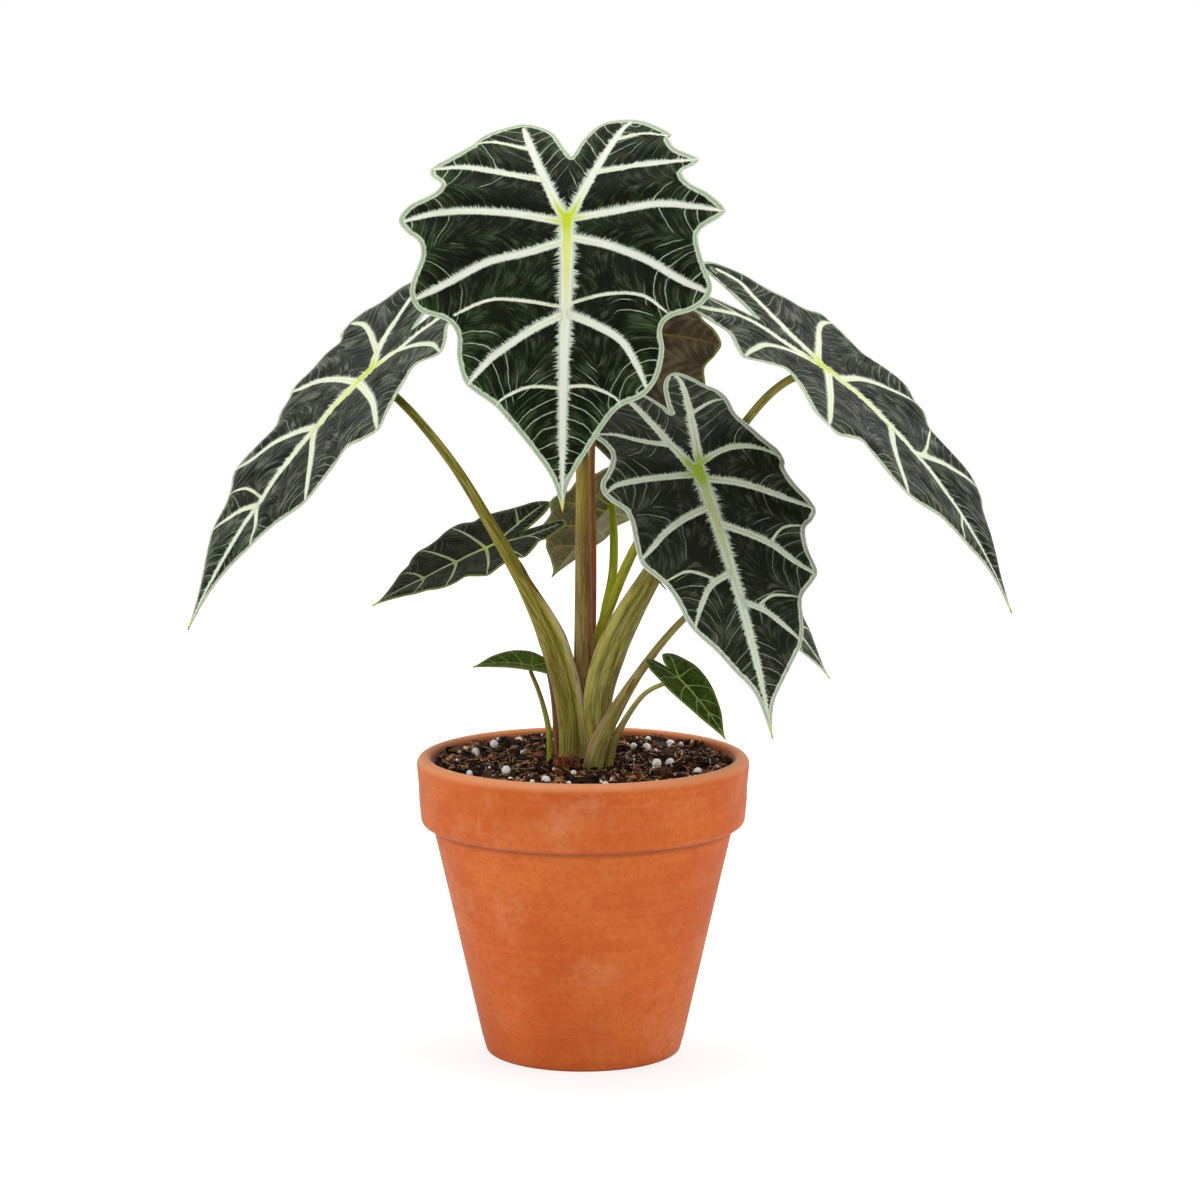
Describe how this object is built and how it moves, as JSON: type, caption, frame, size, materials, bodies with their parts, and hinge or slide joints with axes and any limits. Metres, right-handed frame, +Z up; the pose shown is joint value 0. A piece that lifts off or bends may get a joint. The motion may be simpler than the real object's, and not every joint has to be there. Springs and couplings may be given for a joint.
{
  "type": "potted plant",
  "caption": "Potted alocasia with dark arrow-shaped leaves, pale veins and sheathed stalks, growing in bark and perlite mix in a round tapered terracotta pot with a heavy collar.",
  "frame": {"origin": "centre of the pot's foot, on the surface it stands on; the box round the whole plant is centred within 3 mm of it", "axes": "+Z up along the pot's axis; -Y towards the viewer of the picture; +X to the viewer's right"},
  "size_m": [0.3649, 0.2386, 0.4206],
  "materials": {
    "terracotta": "matt fired clay, unglazed",
    "potting_mix": "loose bark and peat with white perlite",
    "corm": "fibrous brown",
    "stalk_olive": "satin, finely striped",
    "stalk_green": "satin, finely striped",
    "stalk_red": "satin, finely striped",
    "blade_dark": "leathery sheen, silvery veins",
    "blade_young": "leathery sheen, pale veins"
  },
  "bodies": {
    "root": {"terracotta_pot": "terracotta", "potting_mix": "potting_mix", "corm": "corm", "stalk_A": "stalk_olive", "stalk_B": "stalk_olive", "stalk_C": "stalk_olive", "stalk_D": "stalk_green", "stalk_E": "stalk_red", "stalk_F": "stalk_red", "stalk_G": "stalk_green", "stalk_H": "stalk_olive", "stalk_I": "stalk_olive", "stalk_J": "stalk_olive", "blade_A": "blade_dark", "blade_B": "blade_dark", "blade_C": "blade_dark", "blade_D": "blade_dark", "blade_E": "blade_dark", "blade_F": "blade_dark", "blade_G": "blade_dark", "blade_J": "blade_dark", "blade_H": "blade_young", "blade_I": "blade_young"}
  },
  "joints": []
}
